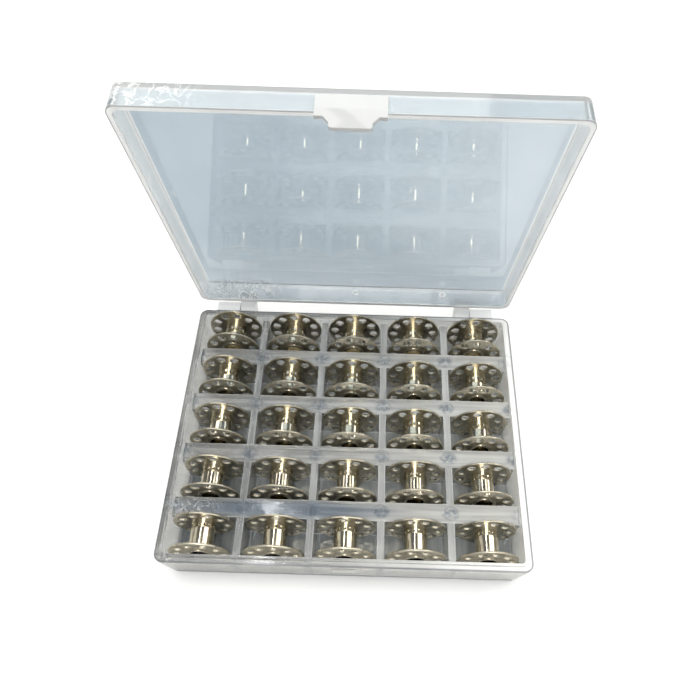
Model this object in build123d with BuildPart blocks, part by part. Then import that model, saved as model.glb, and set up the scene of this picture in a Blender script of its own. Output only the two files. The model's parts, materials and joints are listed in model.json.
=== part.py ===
"""Clear moulded storage box with a hinged lid and 25 metal sewing machine bobbins.

All sizes are in millimetres. The origin is the centre of the tray's footprint, on the
surface that the tray stands on. X runs along the hinge, Y runs from the front with the
catch to the back with the hinge, and Z points up. The lid stands open, as it is used.
"""
import os
from math import cos, radians, sin

from build123d import *

os.makedirs("parts", exist_ok=True)

# Bobbins, all alike: two pressed discs crimped on a short tube
bobbin_diameter = 20.6
bobbin_width = 11.5
disc_thickness = 0.7
disc_edge_radius = 0.2
disc_hole_count = 10
disc_hole_diameter = 3.0
disc_hole_margin = 1.0
tube_diameter = 7.9
neck_diameter = 7.0
neck_clearance = 0.05
bore_diameter = 6.0
crimp_diameter = 8.2
crimp_height = 0.2
bobbin_floor_gap = 0.2
bobbin_setback = 0.4
turn_per_column = 47
turn_per_row = 83
corner_bobbin_shift = 0.5

# Cells of the tray, one for each bobbin
columns = 5
rows = 5
side_clearance = 0.35
end_clearance = 1.25
end_column_extra = 0.75
end_row_extra = 0.2
divider_thickness = 2.4
divider_top = 15.0
cell_draft = 1.2
floor_thickness = 1.5

# Hollow ribs between the rows, cored out from below
rib_width = 6.8
rib_wall = 1.5
rib_web = 1.2
ejector_mark_diameter = 5.2
ejector_mark_depth = 0.2

# Outer wall, rim and foot of the tray
rim_width = 2.7
rim_height = 17.5
rim_band = 1.2
lip_thickness = 0.9
lip_height = 0.9
wall_inset = 1.5
foot_inset = 1.9
foot_height = 3.2
foot_edge_radius = 0.5
corner_radius = 3.0
cavity_corner_radius = 1.2

# Lid
lid_depth = 8.2
lid_wall = 1.5
lid_panel = 1.3
lid_taper_inset = 0.55
lid_edge_radius = 0.8
lid_open_angle = 77.0
bump_radius = 0.7
bump_height = 0.4
bump_spacing = 35.0
bump_above_edge = 4.6

# Hinge: pins moulded on the lid's knuckles turn in bores through the tray's lugs
hinge_setback = 2.65
hinge_drop = 2.5
hinge_pin_diameter = 2.4
hinge_pin_clearance = 0.06
hinge_pin_length = 7.5
lug_end_margin = 6.4
lug_width = 8.9
lug_radius = 2.4
lug_back_radius = 1.5
lug_under_flat = 0.05
lug_root = 1.4
knuckle_gap = 0.15
knuckle_width = 6.0
knuckle_radius = 2.4
knuckle_reach = 3.6
knuckle_shoulder = 1.5
knuckle_root = 0.5

# Catch: a tab on the lid's front wall hooks under a ridge on the tray
tab_pad_width = 18.2
tab_pad_height = 5.1
tab_pad_slope = 0.8
tab_pad_drop = 2.5
tab_neck_width = 14.0
tab_neck_drop = 4.25
tab_width = 10.8
tab_drop = 5.9
tab_thickness = 1.1
tab_standoff = 0.5
tab_corner_radius = 0.9
hook_height = 0.7
hook_reach = 0.45
ridge_gap = 0.1
ridge_height = 0.9
ridge_flat = 0.25
ridge_width = 8.0
ridge_reach = 0.35
ridge_root = 0.6

# Sizes that follow from the ones above
cell_width = bobbin_diameter + 2 * side_clearance
cell_depth = bobbin_width + 2 * end_clearance
column_pitch = cell_width + divider_thickness
row_pitch = cell_depth + rib_width
inner_length = (columns - 1) * column_pitch + cell_width + 2 * end_column_extra
inner_depth = (rows - 1) * row_pitch + cell_depth + 2 * end_row_extra
tray_length = inner_length + 2 * rim_width
tray_depth = inner_depth + 2 * rim_width
half_depth = tray_depth / 2
wall_top = rim_height - rim_band
hinge_y = half_depth + hinge_setback
hinge_z = rim_height - hinge_drop
lug_outer_x = tray_length / 2 - lug_end_margin
lug_middle_x = lug_outer_x - lug_width / 2
knuckle_outer_x = lug_outer_x - lug_width - knuckle_gap
knuckle_middle_x = knuckle_outer_x - knuckle_width / 2
lid_slope = lid_taper_inset / lid_depth
lid_room = lid_depth - lid_panel
bobbin_radius = bobbin_diameter / 2
bobbin_height = floor_thickness + bobbin_floor_gap + bobbin_radius
disc_outer_face = bobbin_width / 2 - crimp_height
disc_inner_face = disc_outer_face - disc_thickness
disc_hole_circle = bobbin_diameter - 2 * disc_hole_margin - disc_hole_diameter

# The lid's own frame: local y is its back and local z its up when it is closed, and its
# origin is the middle of its free edge
open_sin = sin(radians(lid_open_angle))
open_cos = cos(radians(lid_open_angle))
lid_back = Vector(0, open_cos, -open_sin)
lid_up = Vector(0, open_sin, open_cos)
hinge_point = Vector(0, hinge_y, hinge_z)
lid_rim = Plane(
    origin=hinge_point - lid_back * hinge_y + lid_up * hinge_drop,
    x_dir=(1, 0, 0),
    z_dir=lid_up,
)


def cell_span(index, count, pitch, size, extra):
    """Low and high side of a cell; the end cells reach the outer wall."""
    middle = (index - (count - 1) / 2) * pitch
    low = middle - size / 2 - (extra if index == 0 else 0)
    high = middle + size / 2 + (extra if index == count - 1 else 0)
    return low, high


column_spans = [
    cell_span(i, columns, column_pitch, cell_width, end_column_extra) for i in range(columns)
]
row_spans = [cell_span(j, rows, row_pitch, cell_depth, end_row_extra) for j in range(rows)]


def side_plane(x, frame=Plane.XY):
    """Upright plane square to the hinge, with local x to the back and local y up."""
    return Plane(origin=frame.from_local_coords((x, 0, 0)), x_dir=frame.y_dir, z_dir=frame.x_dir)


def front_plane(y, frame=Plane.XY):
    """Upright plane along the hinge, facing the front, with local y up."""
    return Plane(origin=frame.from_local_coords((0, y, 0)), x_dir=frame.x_dir, z_dir=-frame.y_dir)


def outline(inset):
    """The box's outline, drawn in from the rim by the same inset on every side."""
    length = tray_length - 2 * inset
    depth = tray_depth - 2 * inset
    RectangleRounded(length, depth, corner_radius - inset / 2)


# Tray, moulded in one piece
with BuildPart() as tray:
    # Foot, tapered wall and upright rim band
    with BuildSketch(Plane.XY):
        outline(foot_inset)
    extrude(amount=foot_height)
    fillet(tray.faces().sort_by(Axis.Z)[0].edges(), foot_edge_radius)
    with BuildSketch(Plane.XY.offset(foot_height)):
        outline(wall_inset)
    with BuildSketch(Plane.XY.offset(wall_top)):
        outline(0)
    loft(ruled=True)
    with BuildSketch(Plane.XY.offset(wall_top)):
        outline(0)
    extrude(amount=rim_band)
    # Raised lip that the lid's wall goes round
    with BuildSketch(Plane.XY.offset(rim_height)):
        outline(rim_width - lip_thickness)
    extrude(amount=lip_height)
    with BuildSketch(Plane.XY.offset(divider_top)):
        RectangleRounded(inner_length, inner_depth, cavity_corner_radius)
    extrude(amount=rim_height + lip_height - divider_top, mode=Mode.SUBTRACT)
    # Cells, narrower at the floor by the mould's draft
    with BuildSketch(Plane.XY.offset(divider_top)):
        for left, right in column_spans:
            for front, back in row_spans:
                with Locations(((left + right) / 2, (front + back) / 2)):
                    Rectangle(right - left, back - front)
    extrude(amount=floor_thickness - divider_top, taper=cell_draft, mode=Mode.SUBTRACT)
    # Cores of the ribs between rows, open at the underside
    with BuildSketch(Plane.XY):
        with GridLocations(column_pitch, row_pitch, columns, rows - 1):
            Rectangle(column_pitch - rib_web, rib_width - 2 * rib_wall)
    extrude(amount=divider_top - rib_wall, mode=Mode.SUBTRACT)
    # Round marks of the mould's ejector pins where the dividers cross the ribs
    with BuildSketch(Plane.XY.offset(divider_top)):
        with GridLocations(column_pitch, row_pitch, columns - 1, rows - 1):
            Circle(ejector_mark_diameter / 2)
    extrude(amount=-ejector_mark_depth, mode=Mode.SUBTRACT)
    # Hinge lugs, flush with the rim and bored for the lid's pins
    lug_root_y = half_depth - lug_root
    lug_bottom_z = hinge_z - lug_radius
    lug_reach = hinge_y + lug_radius - lug_root_y
    for side in (-1, 1):
        lug_plane = side_plane(side * lug_middle_x)
        with BuildSketch(lug_plane) as lug_profile:
            with Locations((lug_root_y, lug_bottom_z)):
                Rectangle(lug_reach, rim_height - lug_bottom_z, align=(Align.MIN, Align.MIN))
            lug_corners = lug_profile.vertices().group_by(Axis.X)[-1].sort_by(Axis.Y)
            fillet(lug_corners[0], lug_radius - lug_under_flat)
            lug_corners = lug_profile.vertices().group_by(Axis.X)[-1].sort_by(Axis.Y)
            fillet(lug_corners[-1], lug_back_radius)
        extrude(amount=lug_width / 2, both=True)
        with BuildSketch(lug_plane):
            with Locations((hinge_y, hinge_z)):
                Circle(hinge_pin_diameter / 2 + hinge_pin_clearance)
        extrude(amount=lug_width, both=True, mode=Mode.SUBTRACT)
    # Ridge that the catch hooks under, flat below and sloped above
    ridge_bottom_z = rim_height - tab_drop + hook_height + ridge_gap
    ridge_tip_y = -(half_depth + ridge_reach)
    ridge_root_y = -(half_depth - ridge_root)
    with BuildSketch(side_plane(0)):
        with BuildLine():
            Polyline(
                (ridge_root_y, ridge_bottom_z),
                (ridge_tip_y, ridge_bottom_z),
                (ridge_tip_y, ridge_bottom_z + ridge_flat),
                (ridge_root_y, ridge_bottom_z + ridge_height),
                close=True,
            )
        make_face()
    extrude(amount=ridge_width / 2, both=True)
tray.part.label = "tray"
export_step(tray.part, "parts/tray.step")


# Lid, moulded in one piece with its hinge pins and its catch
with BuildPart() as lid:
    # Tapered walls and panel
    with BuildSketch(lid_rim):
        outline(0)
    with BuildSketch(lid_rim.offset(lid_depth)):
        outline(lid_taper_inset)
    loft(ruled=True)
    fillet(lid.faces().sort_by(Axis(lid_rim.origin, lid_up))[-1].edges(), lid_edge_radius)
    with BuildSketch(lid_rim):
        outline(lid_wall)
    with BuildSketch(lid_rim.offset(lid_room)):
        outline(lid_wall + lid_slope * lid_room)
    loft(ruled=True, mode=Mode.SUBTRACT)
    # Three small bumps inside the back wall
    bump_face_y = half_depth - lid_wall - lid_slope * bump_above_edge
    for place in (-1, 0, 1):
        bump_y = bump_face_y - bump_height + bump_radius
        bump_middle = lid_rim.from_local_coords((place * bump_spacing, bump_y, bump_above_edge))
        with Locations(bump_middle):
            Sphere(bump_radius)
    # Knuckles behind the back wall, each with a pin that points outwards
    barrel_y = hinge_y + knuckle_radius
    for side in (-1, 1):
        with BuildSketch(side_plane(side * knuckle_middle_x, lid_rim)):
            with Locations((hinge_y, -hinge_drop)):
                Circle(knuckle_radius)
            with BuildLine():
                Polyline(
                    (hinge_y - knuckle_radius, -hinge_drop),
                    (barrel_y, -hinge_drop),
                    (barrel_y, knuckle_shoulder - hinge_drop),
                    (half_depth - knuckle_root, knuckle_reach),
                    (half_depth - knuckle_root - lid_slope * knuckle_reach, 0),
                    (hinge_y - knuckle_radius, 0),
                    close=True,
                )
            make_face()
        extrude(amount=knuckle_width / 2, both=True)
        pin_root = side_plane(side * (knuckle_outer_x - knuckle_root), lid_rim)
        with BuildSketch(pin_root):
            with Locations((hinge_y, -hinge_drop)):
                Circle(hinge_pin_diameter / 2)
        extrude(amount=side * (knuckle_root + knuckle_gap + hinge_pin_length))
    # Catch tab: a pad on the front wall, and a tongue below it that ends in a hook, both
    # standing off the tray's rim
    tab_inner_y = -(half_depth + tab_standoff)
    tab_outer_y = tab_inner_y - tab_thickness
    pad_top_y = -(half_depth - lid_slope * tab_pad_height)
    with BuildSketch(side_plane(0, lid_rim)):
        with BuildLine():
            Polyline(
                (tab_outer_y, 0),
                (tab_outer_y + lid_slope * tab_pad_height, tab_pad_height - tab_pad_slope),
                (pad_top_y, tab_pad_height),
                (pad_top_y + lid_wall / 2, tab_pad_height),
                (lid_wall / 2 - half_depth, 0),
                close=True,
            )
        make_face()
    extrude(amount=tab_pad_width / 2, both=True)
    with BuildSketch(front_plane(tab_inner_y, lid_rim)) as tongue:
        with BuildLine():
            Polyline(
                (-tab_pad_width / 2, 0),
                (-tab_pad_width / 2, -tab_pad_drop),
                (-tab_neck_width / 2, -tab_pad_drop),
                (-tab_width / 2, -tab_neck_drop),
                (-tab_width / 2, -tab_drop),
                (tab_width / 2, -tab_drop),
                (tab_width / 2, -tab_neck_drop),
                (tab_neck_width / 2, -tab_pad_drop),
                (tab_pad_width / 2, -tab_pad_drop),
                (tab_pad_width / 2, 0),
                close=True,
            )
        make_face()
        fillet(tongue.vertices().group_by(Axis.Y)[0], tab_corner_radius)
    extrude(amount=tab_thickness)
    hook_tip_y = tab_inner_y + hook_reach
    with BuildSketch(side_plane(0, lid_rim)):
        with BuildLine():
            Polyline(
                (tab_inner_y - tab_thickness / 2, -tab_drop),
                (tab_inner_y, -tab_drop),
                (hook_tip_y, hook_height / 2 - tab_drop),
                (hook_tip_y, hook_height - tab_drop),
                (tab_inner_y - tab_thickness / 2, hook_height - tab_drop),
                close=True,
            )
        make_face()
    extrude(amount=tab_width / 2 - tab_corner_radius, both=True)
lid.part.label = "lid"
export_step(lid.part, "parts/lid.step")


def bobbin_plane(column, row):
    """Plane through a bobbin's middle, square to its axis and turned with the bobbin."""
    left, right = column_spans[column]
    front, back = row_spans[row]
    turn = radians(column * turn_per_column + row * turn_per_row)
    # The bobbin in the front left corner has rolled towards the outer wall
    shift = corner_bobbin_shift if column == row == 0 else 0
    middle = ((left + right) / 2 - shift, (front + back) / 2 + bobbin_setback, bobbin_height)
    return Plane(origin=middle, x_dir=(cos(turn), 0, sin(turn)), z_dir=(0, 1, 0))


def write_bobbin(column, row):
    """One bobbin's tube and its two discs, lying on edge in its cell."""
    name = f"bobbin_{row + 1}_{column + 1}"
    middle = bobbin_plane(column, row)
    axis_plane = Plane(origin=middle.origin, x_dir=middle.z_dir, z_dir=middle.y_dir)
    with BuildPart() as tube:
        with BuildSketch(axis_plane):
            with BuildLine():
                Polyline(
                    (0, bore_diameter / 2),
                    (bobbin_width / 2, bore_diameter / 2),
                    (bobbin_width / 2, crimp_diameter / 2),
                    (disc_outer_face, crimp_diameter / 2),
                    (disc_outer_face, neck_diameter / 2),
                    (disc_inner_face, neck_diameter / 2),
                    (disc_inner_face, tube_diameter / 2),
                    (0, tube_diameter / 2),
                    close=True,
                )
            make_face()
            mirror(about=Plane.YZ)
        revolve(axis=Axis(middle.origin, middle.z_dir))
    tube.part.label = f"{name}_tube"
    export_step(tube.part, f"parts/{name}_tube.step")
    with BuildPart() as discs:
        with BuildSketch(middle.offset(disc_inner_face)):
            Circle(bobbin_radius)
            Circle(neck_diameter / 2 + neck_clearance, mode=Mode.SUBTRACT)
            with PolarLocations(disc_hole_circle / 2, disc_hole_count):
                Circle(disc_hole_diameter / 2, mode=Mode.SUBTRACT)
        extrude(amount=disc_thickness)
        outer_edges = discs.edges().filter_by(GeomType.CIRCLE).group_by(SortBy.RADIUS)[-1]
        fillet(outer_edges, disc_edge_radius)
        mirror(about=middle)
    discs.part.label = f"{name}_discs"
    export_step(discs.part, f"parts/{name}_discs.step")


for bobbin_column in range(columns):
    for bobbin_row in range(rows):
        write_bobbin(bobbin_column, bobbin_row)
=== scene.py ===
"""Looks of the bobbin storage box: camera, studio light, clear plastic and nickel plate.

Everything is in metres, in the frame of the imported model: X runs along the hinge, Y from
the catch to the hinge and Z up, with the origin under the middle of the tray.
"""
import json
from math import cos, radians, sin

import bpy
from mathutils import Matrix, Vector


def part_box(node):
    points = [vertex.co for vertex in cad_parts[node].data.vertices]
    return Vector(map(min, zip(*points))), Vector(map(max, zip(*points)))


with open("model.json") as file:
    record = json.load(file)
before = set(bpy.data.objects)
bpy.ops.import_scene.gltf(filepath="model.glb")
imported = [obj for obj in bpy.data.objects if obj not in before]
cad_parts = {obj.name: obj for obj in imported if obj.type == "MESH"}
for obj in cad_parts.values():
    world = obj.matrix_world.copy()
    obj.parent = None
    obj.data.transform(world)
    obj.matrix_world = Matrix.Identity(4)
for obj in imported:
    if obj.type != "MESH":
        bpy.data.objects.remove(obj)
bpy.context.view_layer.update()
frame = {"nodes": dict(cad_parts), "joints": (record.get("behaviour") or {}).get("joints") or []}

# Camera, fitted to the photograph's corners, disc tops and hinge
image_size = 680
camera_place = Vector((0.006083, -0.108132, 0.216156))
camera_pan = 0.00534
camera_dip = 1.06364
camera_roll = 0.03438
focal_pixels = 625.62
centre_u = 368.41
centre_v = 421.95
sensor_width = 36.0

# Sizes of the box
half_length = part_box("tray")[1].x
half_depth = 0.0515
corner_radius = 0.003
column_pitch = 0.0237
row_pitch = 0.0208
divider_top = 0.015
bump_spacing = 0.035

# The open lid's own directions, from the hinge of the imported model
hinge = next(joint for joint in frame["joints"] if joint["name"] == "lid_hinge")
lid_angle = radians(-hinge["range_deg"][0])
rim_above_hinge = 0.0025
hinge_point = Vector(hinge["pos_m"])
lid_back = Vector((0, cos(lid_angle), -sin(lid_angle)))
lid_up = Vector((0, sin(lid_angle), cos(lid_angle)))
lid_rim_middle = hinge_point - lid_back * hinge_point.y + lid_up * rim_above_hinge


def make_camera():
    """Camera with the photograph's place, turn, lens and framing."""
    forward = Vector((
        sin(camera_pan) * cos(camera_dip),
        cos(camera_pan) * cos(camera_dip),
        -sin(camera_dip),
    ))
    level_right = forward.cross(Vector((0, 0, 1))).normalized()
    level_up = level_right.cross(forward)
    right = cos(camera_roll) * level_right + sin(camera_roll) * level_up
    up = cos(camera_roll) * level_up - sin(camera_roll) * level_right
    data = bpy.data.cameras.new("camera")
    data.sensor_width = sensor_width
    data.lens = focal_pixels / image_size * sensor_width
    data.shift_x = -(centre_u - image_size / 2) / image_size
    data.shift_y = (centre_v - image_size / 2) / image_size
    data.clip_start = 0.01
    data.clip_end = 20.0
    camera = bpy.data.objects.new("camera", data)
    turn = Matrix((right, up, -forward)).transposed().to_4x4()
    camera.matrix_world = Matrix.Translation(camera_place) @ turn
    bpy.context.scene.collection.objects.link(camera)
    bpy.context.scene.camera = camera


def new_material(name):
    """Node material and its Principled shader."""
    material = bpy.data.materials.new(name)
    material.use_nodes = True
    return material, material.node_tree.nodes["Principled BSDF"]


def assign(node, material):
    """Gives a CAD node one material."""
    data = frame["nodes"][node].data
    data.materials.clear()
    data.materials.append(material)


def feed(tree, socket, value):
    """Sets a socket to a number or a colour, or links another node's output to it."""
    if isinstance(value, bpy.types.NodeSocket):
        tree.links.new(value, socket)
    elif isinstance(value, tuple) and socket.type == "RGBA":
        socket.default_value = (*value, 1.0)
    elif value is not None:
        socket.default_value = value


def add(tree, kind, **values):
    """New node, with its properties set by name and its sockets set or linked by name."""
    node = tree.nodes.new(kind)
    for key, value in values.items():
        if hasattr(node, key):
            setattr(node, key, value)
        else:
            feed(tree, node.inputs[key.replace("_", " ")], value)
    return node


def own_place(tree):
    """Coordinates in the piece's own frame."""
    return add(tree, "ShaderNodeTexCoord").outputs["Object"]


def split(tree, vector):
    """X, Y and Z of a vector, by name."""
    return add(tree, "ShaderNodeSeparateXYZ", Vector=vector).outputs


def join(tree, x, y, z=0.0):
    """Vector from its X, Y and Z."""
    return add(tree, "ShaderNodeCombineXYZ", X=x, Y=y, Z=z).outputs["Vector"]


def length_of(tree, vector):
    """Length of a vector."""
    return add(tree, "ShaderNodeVectorMath", operation="LENGTH", Vector=vector).outputs["Value"]


def maths(tree, operation, first, second=None):
    """Math node; each value is a number or a socket."""
    node = add(tree, "ShaderNodeMath", operation=operation)
    feed(tree, node.inputs[0], first)
    feed(tree, node.inputs[1], second)
    return node.outputs[0]


def times(tree, first, second):
    """Product of two values or masks."""
    return maths(tree, "MULTIPLY", first, second)


def minus(tree, first, second):
    """Difference of two values."""
    return maths(tree, "SUBTRACT", first, second)


def most(tree, first, *others):
    """The largest of several values or masks."""
    for other in others:
        first = maths(tree, "MAXIMUM", first, other)
    return first


def fade(tree, value, band, first=0.0, last=1.0):
    """Mask that runs from first to last as the value crosses a band, and is steady outside it."""
    ends = {"From_Min": band[0], "From_Max": band[1], "To_Min": first, "To_Max": last}
    return add(tree, "ShaderNodeMapRange", Value=value, **ends).outputs["Result"]


def fade_out(tree, value, band):
    """Mask that runs from 1 to 0 as the value crosses a band."""
    return fade(tree, value, band, 1.0, 0.0)


def weaken(tree, mask, other, left=0.0):
    """A mask made weaker where another one is strong, down to the share that is left."""
    return times(tree, mask, fade(tree, other, (0.0, 1.0), 1.0, left))


def from_nearest(tree, value, spacing):
    """Distance from the nearest whole multiple of a spacing."""
    return maths(tree, "PINGPONG", value, spacing / 2)


# Places of the Mix node's two inputs and its output, for numbers and for colours
mix_sockets = {"FLOAT": (2, 3, 0), "RGBA": (6, 7, 2)}


def mix(tree, kind, share, first, second):
    """Blend of two numbers (FLOAT) or two colours (RGBA); each may be a socket."""
    first_input, second_input, output = mix_sockets[kind]
    node = add(tree, "ShaderNodeMix", data_type=kind, Factor=share)
    feed(tree, node.inputs[first_input], first)
    feed(tree, node.inputs[second_input], second)
    return node.outputs[output]


def mix_colour(tree, share, first, second):
    """Blend of two colours; each is a colour or a socket."""
    return mix(tree, "RGBA", share, first, second)


def ramp(tree, value, colours, stops=(0.3, 0.7)):
    """Colour that runs from the first to the second between two stops of the value."""
    node = add(tree, "ShaderNodeValToRGB", Fac=value)
    for element, stop, colour in zip(node.color_ramp.elements, stops, colours):
        element.position = stop
        element.color = (*colour, 1.0)
    return node.outputs["Color"]


def noise(tree, place, scale, detail=2.0, roughness=0.5, stretch=(1, 1, 1)):
    """Noise in the piece's own coordinates, stretched along its axes."""
    stretched = add(tree, "ShaderNodeMapping", Vector=place, Scale=stretch).outputs["Vector"]
    values = {"Scale": scale, "Detail": detail, "Roughness": roughness}
    return add(tree, "ShaderNodeTexNoise", Vector=stretched, **values).outputs["Fac"]


def bump(tree, height, strength, distance, below):
    """Bump from a height, on top of another normal; the distance is a number or a socket."""
    values = {"Strength": strength, "Distance": distance, "Height": height, "Normal": below}
    return add(tree, "ShaderNodeBump", **values).outputs["Normal"]


def rounded_edges(tree, radius=0.0003, samples=4):
    """Normal of the surface with its edges rounded."""
    return add(tree, "ShaderNodeBevel", samples=samples, Radius=radius).outputs["Normal"]


def edge_light(tree, radius):
    """Mask for painted edge highlights: 1 along the edges, where clear plastic gathers light, and 0
    on flat faces.
    """
    flat_cosine, edge_cosine = 0.99, 0.90
    cosine = add(tree, "ShaderNodeVectorMath", operation="DOT_PRODUCT")
    feed(tree, cosine.inputs[0], rounded_edges(tree, radius, samples=6))
    feed(tree, cosine.inputs[1], add(tree, "ShaderNodeNewGeometry").outputs["Normal"])
    return fade(tree, cosine.outputs["Value"], (flat_cosine, edge_cosine))


def patch(tree, place, centre, radius):
    """1 within half a radius of a point, fading to 0 at the radius; each axis has its own."""
    values = {"Location": centre, "Scale": radius}
    scaled = add(tree, "ShaderNodeMapping", vector_type="TEXTURE", Vector=place, **values)
    return fade_out(tree, length_of(tree, scaled.outputs["Vector"]), (0.5, 1.0))


def past_face(tree, value, half):
    """Distance past the nearer of two faces, one on each side at half the size."""
    return minus(tree, maths(tree, "ABSOLUTE", value), half)


def past_outline(tree, at):
    """Distance past the box's outline with its rounded corners, below 0 inside it."""
    beyond_x = most(tree, past_face(tree, at["X"], half_length - corner_radius), 0.0)
    beyond_y = most(tree, past_face(tree, at["Y"], half_depth - corner_radius), 0.0)
    return minus(tree, length_of(tree, join(tree, beyond_x, beyond_y)), corner_radius)


def scuffs(tree, place, where, scale, softness):
    """White scratches and crazing inside a patch, along the middle level of a noise."""
    middle_level, line_width = 0.5, 0.006
    values = {"Scale": scale, "Detail": 4.0, "Roughness": 0.6, "Distortion": 1.2}
    level = add(tree, "ShaderNodeTexNoise", Vector=place, **values).outputs["Fac"]
    from_line = maths(tree, "ABSOLUTE", minus(tree, level, middle_level))
    return times(tree, where, fade_out(tree, from_line, (line_width, softness)))


# Levels of noise at which smudges, scratches, blotches, streaks and dull spots begin and end
smudge_levels = (0.35, 0.7)
scratch_levels = (0.62, 0.7)
blotch_levels = (0.40, 0.60)
streak_levels = (0.35, 0.65)
dull_levels = (0.35, 0.75)


def surface_detail(tree, shader, place, roughness, wave_depth):
    """Smudges in the gloss, rounded edges, moulding waves and fine scratches."""
    smudge = noise(tree, place, scale=160.0, detail=4.0, roughness=0.6)
    feed(tree, shader.inputs["Roughness"], fade(tree, smudge, smudge_levels, *roughness))
    wave = noise(tree, place, scale=70.0, detail=1.0)
    waves = bump(tree, wave, strength=0.2, distance=wave_depth, below=rounded_edges(tree))
    scratches = noise(tree, place, scale=900.0, stretch=(1, 0.08, 0.08))
    scratches = fade(tree, scratches, scratch_levels)
    scratched = bump(tree, scratches, strength=0.12, distance=0.00004, below=waves)
    feed(tree, shader.inputs["Normal"], scratched)


# Both plastics: refraction, and how far from an edge the painted edge light reaches
plastic_ior = 1.49
plastic_edge_radius = 0.0004

# Tray: heights, depths, lengths and distances across which one look turns into another
floor_heights = (0.0012, 0.0020)
top_heights = (0.0142, 0.0150)
under_rim_heights = (0.0155, 0.0163)
rim_heights = (0.0168, 0.0174)
rim_line_heights = (0.0169, 0.0172)
front_wall_depths = (-0.0499, -0.0494)
lug_depths = (0.0514, 0.0518)
front_to_back = (-0.045, 0.045)
left_to_right = (-0.055, 0.062)
middle_to_right = (0.0, 0.06)
rib_side = (0.0034, 0.0037)
rib_edge = (0.0028, 0.0032)
rim_line_width = (-0.0007, -0.0004)

# Tray: centre and radius of each patch; the spot's is from a crossing of rib and divider
# the catch ridge gets a painted highlight
catch_ridge = ((0, -0.0516, 0.0129), (0.0084, 0.0014, 0.0014))
# painted shade: a dark blue patch on the front rib
shaded_rib = ((-0.022, -0.0312, divider_top), (0.045, 0.004, 0.02))
scuffed_rib = ((-0.052, -0.031, divider_top), (0.012, 0.004, 0.02))
ejector_spot = ((0, 0, divider_top), (0.0036, 0.0028, 0.0020))

# Tray: strength of each mark, from 0 to 1; for edges on ribs and elsewhere, for spots at both
# levels. The edge, top, rim and ridge marks are painted highlights, the rib mark and the rim line
# painted shade
edge_strengths = (0.05, 0.6)
scuff_strength = 0.7
top_highlight_strength = 0.05
rim_highlight_strength = 0.75
ridge_highlight_strength = 0.55
rib_shade_strength = 0.9
spot_strengths = (0.05, 0.75)
rim_line_strength = 0.9

# Tray: how clear its streaks are, and how much less clear it is in each place
streak_clearness = (0.90, 0.76)
# painted light: the tray is made less clear, and so whiter, towards the right
lit_right_loss = 0.25
# less clear where lugs, scuffs and painted highlights whiten the tray
milk_and_highlight_loss = 0.6
other_loss = 0.2

# Tray: colours; where there are two, they follow the haze. Painted light and shade: lighter walls
# and front wall on the right, a darker front wall, a dark blue-grey floor of painted shade that is
# lighter at the back, a dark blue painted shade on one rib, a dark grey painted line at the rim's
# edge, and white that is partly painted highlight.
wall_left = ((0.66, 0.67, 0.66), (0.82, 0.82, 0.80))
wall_right = ((0.88, 0.89, 0.87), (0.97, 0.97, 0.94))
floor_front = ((0.31, 0.36, 0.39), (0.43, 0.48, 0.51))
floor_back = ((0.50, 0.54, 0.56), (0.62, 0.66, 0.68))
front_wall_left = ((0.38, 0.38, 0.36), (0.54, 0.54, 0.51))
front_wall_right = (0.72, 0.72, 0.69)
rib_shade_colour = (0.36, 0.43, 0.52)
spot_colour = (0.22, 0.29, 0.38)
milk_and_highlight_colour = (0.98, 0.98, 0.98)
rim_line_colour = (0.20, 0.21, 0.22)


def tray_milk_and_highlights(tree, place, at, from_rib, in_lug):
    """Where the tray is white: whitish lugs, a scuffed rib, and painted highlights on the edges, the
    tops, the rim's right and the ridge.
    """
    # painted highlight along the edges
    edges = edge_light(tree, plastic_edge_radius)
    edges = times(tree, edges, fade(tree, from_rib, rib_edge, *edge_strengths))
    where = patch(tree, place, *scuffed_rib)
    scuff = times(tree, scuffs(tree, place, where, scale=260.0, softness=0.025), scuff_strength)
    # painted highlight on everything from the divider tops up
    tops = fade(tree, at["Z"], top_heights, 0.0, top_highlight_strength)
    # painted light: the rim whiter towards the right
    rim = fade(tree, at["X"], middle_to_right, 0.0, rim_highlight_strength)
    rim = times(tree, rim, fade(tree, at["Z"], rim_heights))
    # painted highlight on the catch ridge
    ridge = times(tree, patch(tree, place, *catch_ridge), ridge_highlight_strength)
    return most(tree, in_lug, edges, scuff, tops, rim, ridge)


def tray_spots(tree, place, at, from_rib):
    """Blotchy dark spots where the ribs cross the column dividers, at the ejector marks."""
    from_divider = from_nearest(tree, minus(tree, at["X"], column_pitch / 2), column_pitch)
    spot = patch(tree, join(tree, from_divider, from_rib, at["Z"]), *ejector_spot)
    blotches = noise(tree, place, scale=700.0)
    return times(tree, spot, fade(tree, blotches, blotch_levels, *spot_strengths))


def rim_line(tree, at, in_lug):
    """Painted shade: thin grey line round the top of the rim, standing in for the dark edge of the
    clear plastic, except at the hinge lugs.
    """
    line = fade(tree, past_outline(tree, at), rim_line_width, 0.0, rim_line_strength)
    return weaken(tree, times(tree, line, fade(tree, at["Z"], rim_line_heights)), in_lug)


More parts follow.
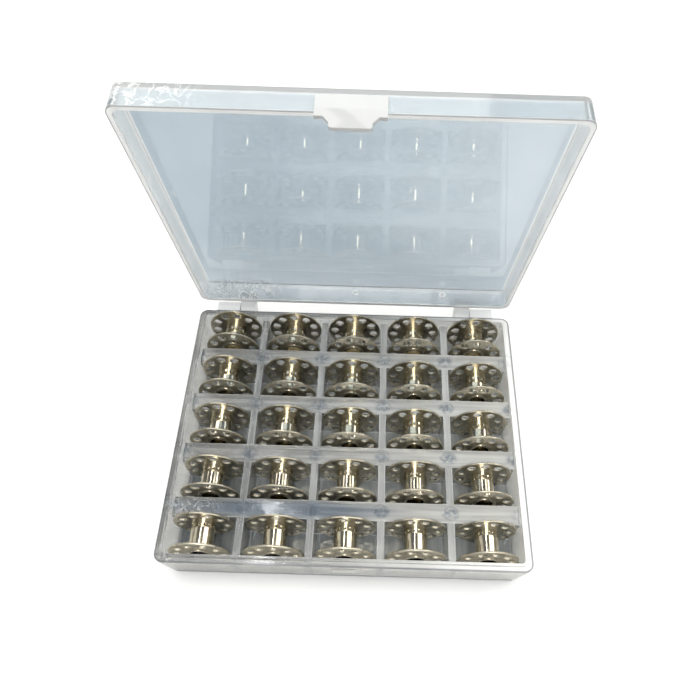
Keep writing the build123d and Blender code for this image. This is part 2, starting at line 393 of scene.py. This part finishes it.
def tray_colour(tree, place, at, lit_to_right, in_floor):
    """Hazy grey of the walls, darker in the front wall and blue-grey in the floor: painted light and
    shade, lighter to the right, a darker front wall and a dark floor that is lighter at the back.
    """
    haze = noise(tree, place, scale=60.0, detail=3.0)
    # painted light: walls lighter towards the right
    walls = mix_colour(tree, lit_to_right, ramp(tree, haze, wall_left), ramp(tree, haze, wall_right))
    # painted shade: the floor darker at the front, lighter at the back
    to_back = fade(tree, at["Y"], front_to_back)
    floor = mix_colour(tree, to_back, ramp(tree, haze, floor_front), ramp(tree, haze, floor_back))
    front_left = ramp(tree, haze, front_wall_left, stops=(0.35, 0.65))
    front = mix_colour(tree, lit_to_right, front_left, front_wall_right)
    # painted shade: the front wall darker
    in_front = fade_out(tree, at["Y"], front_wall_depths)
    in_front = times(tree, in_front, fade_out(tree, at["Z"], under_rim_heights))
    return mix_colour(tree, in_front, mix_colour(tree, in_floor, walls, floor), front)


def tray_streaks(tree, place, from_rib):
    """How clear the tray is: streaky along the ribs and, everywhere else, along the dividers."""
    along_rib = noise(tree, place, scale=600.0, detail=1.0, stretch=(0.04, 1, 0.1))
    along_divider = noise(tree, place, scale=600.0, detail=1.0, stretch=(1, 0.04, 0.1))
    on_rib = fade_out(tree, from_rib, rib_side)
    streaks = mix(tree, "FLOAT", on_rib, along_divider, along_rib)
    return fade(tree, streaks, streak_levels, *streak_clearness)


def tray_plastic():
    """Clear plastic of the tray: grey-blue painted shade in the floor, clear walls with painted
    bright edges, whitish lugs.
    """
    material, shader = new_material("tray_plastic")
    tree = material.node_tree
    place = own_place(tree)
    at = split(tree, place)
    from_rib = from_nearest(tree, minus(tree, at["Y"], row_pitch / 2), row_pitch)
    in_floor = fade_out(tree, at["Z"], floor_heights)
    in_lug = fade(tree, at["Y"], lug_depths)
    # painted light: lighter and less clear towards the right
    lit_to_right = fade(tree, at["X"], left_to_right)
    # painted shade: dark blue patch on the front rib
    rib_shade = times(tree, patch(tree, place, *shaded_rib), rib_shade_strength)
    milk_and_highlights = tray_milk_and_highlights(tree, place, at, from_rib, in_lug)
    # painted shade: dark line round the rim
    line = rim_line(tree, at, in_lug)

    colour = tray_colour(tree, place, at, lit_to_right, in_floor)
    # painted shade on the rib
    colour = mix_colour(tree, rib_shade, colour, rib_shade_colour)
    colour = mix_colour(tree, tray_spots(tree, place, at, from_rib), colour, spot_colour)
    # white of lugs and scuffs, and painted highlights
    colour = mix_colour(tree, milk_and_highlights, colour, milk_and_highlight_colour)
    colour = mix_colour(tree, line, colour, rim_line_colour)
    feed(tree, shader.inputs["Base Color"], colour)

    clear = tray_streaks(tree, place, from_rib)
    clear = minus(tree, clear, times(tree, lit_to_right, lit_right_loss))
    clear = minus(tree, clear, times(tree, milk_and_highlights, milk_and_highlight_loss))
    for mask in (in_floor, in_lug, line):
        clear = minus(tree, clear, times(tree, mask, other_loss))
    feed(tree, shader.inputs["Transmission Weight"], clear)
    shader.inputs["IOR"].default_value = plastic_ior
    surface_detail(tree, shader, place, roughness=(0.03, 0.14), wave_depth=0.0010)
    return material


# Lid: heights above its rim, depths, lengths and distances past its outer faces
lid_rim_heights = (0.0002, 0.0005)
near_rim_heights = (0.0040, 0.0050)
lid_corner_heights = (0.0054, 0.0062)
panel_line_heights = (0.0076, 0.0078)
front_half = (-0.01, 0.01)
towards_hinge = (0.015, 0.045)
hinge_wall_depths = (0.0480, 0.0484)
towards_right = (-0.02, 0.05)
wall_width = (-0.0021, -0.0016)
corner_width = (-0.0028, -0.0020)
outside_wall = (0.0001, 0.0003)
lid_rim_line_width = (-0.0004, -0.0002)
panel_line_width = (-0.0018, -0.0014)

# Lid: centre and radius of each patch; the bump's is from the nearest of the three
worn_front_corner = ((-0.058, -0.051, 0.005), (0.022, 0.006, 0.009))
worn_hinge_corner = ((-0.046, 0.051, 0.004), (0.018, 0.006, 0.008))
lid_bump = ((0, 0.0492, 0.0046), (0.0018, 0.0018, 0.0018))

# Lid: strength of each mark, and what is left of the white along the hinge; the edge marks are
# painted highlights and the line marks painted shade
lid_edge_strength = 0.8
lid_scuff_strength = 0.75
lid_line_strength = 0.8
hinge_line_left = 0.3

# Lid: how clear its panel and walls are, what is left of that in whitened places, and its waves
panel_clearness = 0.8
wall_clearness = 0.7
milk_and_highlight_left = 0.25
panel_wave_depth = 0.00002
wall_wave_depth = 0.0030

# Lid: colours; where there are two, they follow the haze. Painted light and shade: the panel lighter
# to the right and towards the hinge, side and front walls lighter, the back wall darker, a painted
# highlight white and a dark grey painted line at the edges
panel_left = ((0.46, 0.545, 0.615), (0.50, 0.585, 0.66))
panel_right = ((0.59, 0.67, 0.735), (0.64, 0.72, 0.785))
side_walls = ((0.86, 0.90, 0.92), (0.92, 0.95, 0.96))
front_wall = ((0.74, 0.81, 0.85), (0.82, 0.88, 0.91))
back_wall = ((0.42, 0.48, 0.52), (0.50, 0.56, 0.60))
bright_colour = (0.97, 0.98, 0.98)
tab_colour = (0.64, 0.65, 0.65)
lid_line_colour = (0.30, 0.31, 0.33)


def rim_plane_mapping(tree, place):
    """Coordinates in the closed lid's own directions, measured from the middle of its rim."""
    start = -(Matrix.Rotation(lid_angle, 3, "X") @ lid_rim_middle)
    turned = add(tree, "ShaderNodeMapping", vector_type="POINT", Vector=place, Location=start)
    turned.inputs["Rotation"].default_value = (lid_angle, 0, 0)
    return turned.outputs["Vector"]


def lid_bumps(tree, at):
    """1 on the three small bumps inside the lid's back wall."""
    from_bump = from_nearest(tree, at["X"], bump_spacing)
    return patch(tree, join(tree, from_bump, at["Y"], at["Z"]), *lid_bump)


def lid_scuffs(tree, place, in_lid):
    """Scuffs at the lid's front left corner and by its left hinge."""
    front_corner = patch(tree, in_lid, *worn_front_corner)
    hinge_corner = patch(tree, in_lid, *worn_hinge_corner)
    where = most(tree, front_corner, hinge_corner)
    return times(tree, scuffs(tree, place, where, scale=170.0, softness=0.05), lid_scuff_strength)


def lid_lines(tree, at, rim, beyond):
    """Painted shade: thin grey lines round the lid's rim and round its panel, standing in for the
    dark edges of the clear plastic, except at tab and knuckles.
    """
    past_lid = past_outline(tree, at)
    at_rim = times(tree, rim, fade(tree, past_lid, lid_rim_line_width))
    at_panel = fade(tree, at["Z"], panel_line_heights)
    at_panel = times(tree, at_panel, fade(tree, past_lid, panel_line_width))
    return times(tree, weaken(tree, most(tree, at_rim, at_panel), beyond), lid_line_strength)


def lid_colour(tree, place, at, in_wall, in_end, in_front):
    """Hazy blue-grey of the panel, with lighter side and front walls and a darker back wall: painted
    light and shade, the panel also lighter to the right and towards the hinge.
    """
    haze = noise(tree, place, scale=45.0, detail=3.0)
    # painted light: panel lighter to the right and towards the hinge
    lighter = most(tree, fade(tree, at["X"], towards_right), fade(tree, at["Y"], towards_hinge))
    panel = mix_colour(tree, lighter, ramp(tree, haze, panel_left), ramp(tree, haze, panel_right))
    # painted light and shade: front wall lighter, back wall darker
    ends = mix_colour(tree, in_front, ramp(tree, haze, back_wall), ramp(tree, haze, front_wall))
    walls = mix_colour(tree, in_end, ramp(tree, haze, side_walls), ends)
    return mix_colour(tree, in_wall, panel, walls)


def lid_plastic():
    """Clear plastic of the lid: blue-grey, with painted light gathered in its rim and outer corners.
    """
    material, shader = new_material("lid_plastic")
    tree = material.node_tree
    place = own_place(tree)
    in_lid = rim_plane_mapping(tree, place)
    at = split(tree, in_lid)
    past_end = past_face(tree, at["Y"], half_depth)
    past_wall = most(tree, past_face(tree, at["X"], half_length), past_end)
    in_wall = fade(tree, past_wall, wall_width)
    in_end = fade(tree, past_end, wall_width)
    in_front = fade_out(tree, at["Y"], front_half)
    beyond = fade(tree, past_wall, outside_wall)
    tab = times(tree, beyond, in_front)
    # painted light: the rim face whitened
    rim = fade_out(tree, at["Z"], lid_rim_heights)
    # painted highlights along the edges
    edges = times(tree, edge_light(tree, plastic_edge_radius), lid_edge_strength)
    rim_edges = times(tree, edges, fade_out(tree, at["Z"], near_rim_heights))
    marks = most(tree, lid_scuffs(tree, place, in_lid), lid_bumps(tree, at))
    # white of tab, scuffs and bumps, and painted light on the rim and edges
    milk_and_highlights = most(tree, rim, tab, rim_edges, marks)
    # painted shade: dark lines at the edges
    lines = lid_lines(tree, at, rim, beyond)

    # painted highlight in the outer corners
    corner = fade(tree, past_wall, corner_width)
    corner = times(tree, corner, fade(tree, at["Z"], lid_corner_heights))
    bright = most(tree, corner, edges)
    hinge_line = times(tree, bright, fade(tree, at["Y"], hinge_wall_depths))
    hinge_line = weaken(tree, hinge_line, beyond)
    white = weaken(tree, most(tree, milk_and_highlights, beyond, bright), hinge_line, hinge_line_left)
    colour = lid_colour(tree, place, at, in_wall, in_end, in_front)
    colour = mix_colour(tree, white, colour, mix_colour(tree, tab, bright_colour, tab_colour))
    colour = mix_colour(tree, lines, colour, lid_line_colour)
    feed(tree, shader.inputs["Base Color"], colour)

    clear = fade(tree, in_wall, (0.0, 1.0), panel_clearness, wall_clearness)
    clear = weaken(tree, clear, most(tree, milk_and_highlights, lines), milk_and_highlight_left)
    feed(tree, shader.inputs["Transmission Weight"], clear)
    shader.inputs["IOR"].default_value = plastic_ior
    wave_depth = fade(tree, in_wall, (0.0, 1.0), panel_wave_depth, wall_wave_depth)
    surface_detail(tree, shader, place, roughness=(0.0, 0.01), wave_depth=wave_depth)
    return material


# Nickel plate: colours that follow its clouds, roughness of bright and dull spots, painted
# highlights on its edges
# painted shade: the discs' plate is darker than the tubes', for the dark reflections that the discs
# show
disc_colours = ((0.46, 0.42, 0.33), (0.64, 0.59, 0.47))
tube_colours = ((0.66, 0.60, 0.46), (0.80, 0.74, 0.59))
disc_roughness = (0.26, 0.36)
tube_roughness = (0.05, 0.12)
edge_highlight_colour = (0.95, 0.92, 0.85)
edge_highlight_radius = 0.00025
edge_highlight_strength = 0.75


def nickel(name, colours, roughness, grain_stretch):
    """Nickel plate with painted highlights on its edges, a fine grain and small dull spots."""
    material, shader = new_material(name)
    tree = material.node_tree
    place = own_place(tree)
    plate = ramp(tree, noise(tree, place, scale=400.0, detail=3.0), colours)
    # painted highlight: edges whitened
    edges = times(tree, edge_light(tree, edge_highlight_radius), edge_highlight_strength)
    feed(tree, shader.inputs["Base Color"], mix_colour(tree, edges, plate, edge_highlight_colour))
    shader.inputs["Metallic"].default_value = 1.0
    dull = noise(tree, place, scale=900.0, detail=4.0, roughness=0.6)
    feed(tree, shader.inputs["Roughness"], fade(tree, dull, dull_levels, *roughness))
    grain = noise(tree, place, scale=2500.0, stretch=grain_stretch)
    grained = bump(tree, grain, strength=0.06, distance=0.0001, below=rounded_edges(tree))
    feed(tree, shader.inputs["Normal"], grained)
    return material


# Floor and light
floor_half = 3.0
floor_height = -0.0002
floor_colour = (0.96, 0.96, 0.96, 1)
floor_roughness = 0.8
world_colour = (0.95, 0.97, 1.0, 1)
world_strength = 0.15
ceiling = 1.0
white_light = (1.0, 1.0, 1.0)
cream_light = (1.0, 0.96, 0.88)

# Name, place, the point that it faces, size, power in watts and colour of each light
lights = (
    ("front_right", (0.78, 0.34, ceiling), (0.78, 0.34, 0), (0.84, 0.28), 1.6, (1.0, 0.97, 0.90)),
    ("front_strip", (-0.18, 0.34, ceiling), (-0.18, 0.34, 0), (0.04, 0.28), 0.5, white_light),
    ("back_left", (-0.38, 0.74, ceiling), (-0.38, 0.74, 0), (1.2, 0.45), 3.8, (1.0, 0.97, 0.92)),
    ("back_right", (1.4, 0.74, ceiling), (0.9, 0.5, 0), (0.9, 0.45), 4.0, cream_light),
    ("left_box", (-1.6, 0.2, 0.5), (0, 0, 0.1), (0.8, 2.4), 3.2, cream_light),
    ("right_low", (1.6, -0.2, 0.45), (0, 0, 0.05), (0.7, 2.4), 4.0, (1.0, 0.98, 0.95)),
    ("top_box", (0.1, 0.0, ceiling), (0.1, 0.0, 0), (2.2, 0.5), 9.8, (1.0, 1.0, 0.98)),
    ("lamp", (0.0, -0.52, ceiling), (0.0, -0.52, 0), (0.32, 0.45), 5.0, (1.0, 0.99, 0.96)),
    ("front_box", (0.0, -1.5, 0.9), (0, 0, 0), (2.4, 1.0), 3.0, white_light),
)


def area_light(name, place, target, size, power, colour):
    """Soft rectangular light that points at a target."""
    data = bpy.data.lights.new(name, "AREA")
    data.shape = "RECTANGLE"
    data.size, data.size_y = size
    data.energy = power
    data.color = colour
    light = bpy.data.objects.new(name, data)
    light.location = place
    direction = Vector(target) - Vector(place)
    light.rotation_euler = direction.to_track_quat("-Z", "Y").to_euler()
    bpy.context.scene.collection.objects.link(light)


def make_floor():
    """Plain pale floor, just under the box."""
    signs = ((-1, -1), (1, -1), (1, 1), (-1, 1))
    corners = [(u * floor_half, v * floor_half, 0) for u, v in signs]
    mesh = bpy.data.meshes.new("floor")
    mesh.from_pydata(corners, [], [(0, 1, 2, 3)])
    floor = bpy.data.objects.new("floor", mesh)
    floor.location = (0, 0, floor_height)
    bpy.context.scene.collection.objects.link(floor)
    material, shader = new_material("pale_floor")
    shader.inputs["Base Color"].default_value = floor_colour
    shader.inputs["Roughness"].default_value = floor_roughness
    mesh.materials.append(material)


def make_light():
    """Weak even world light, lights overhead that metal and lid mirror, and boxes at the sides."""
    world = bpy.data.worlds.new("studio")
    bpy.context.scene.world = world
    world.use_nodes = True
    background = world.node_tree.nodes["Background"]
    background.inputs["Color"].default_value = world_colour
    background.inputs["Strength"].default_value = world_strength
    for light in lights:
        area_light(*light)
    bpy.context.scene.view_settings.view_transform = "Standard"


make_camera()
make_floor()
make_light()

disc_nickel = nickel("disc_nickel", disc_colours, disc_roughness, grain_stretch=(1, 1, 1))
tube_nickel = nickel("tube_nickel", tube_colours, tube_roughness, grain_stretch=(1, 0.1, 1))
assign("tray", tray_plastic())
assign("lid", lid_plastic())
for node in frame["nodes"]:
    if node.endswith("_discs"):
        assign(node, disc_nickel)
    if node.endswith("_tube"):
        assign(node, tube_nickel)
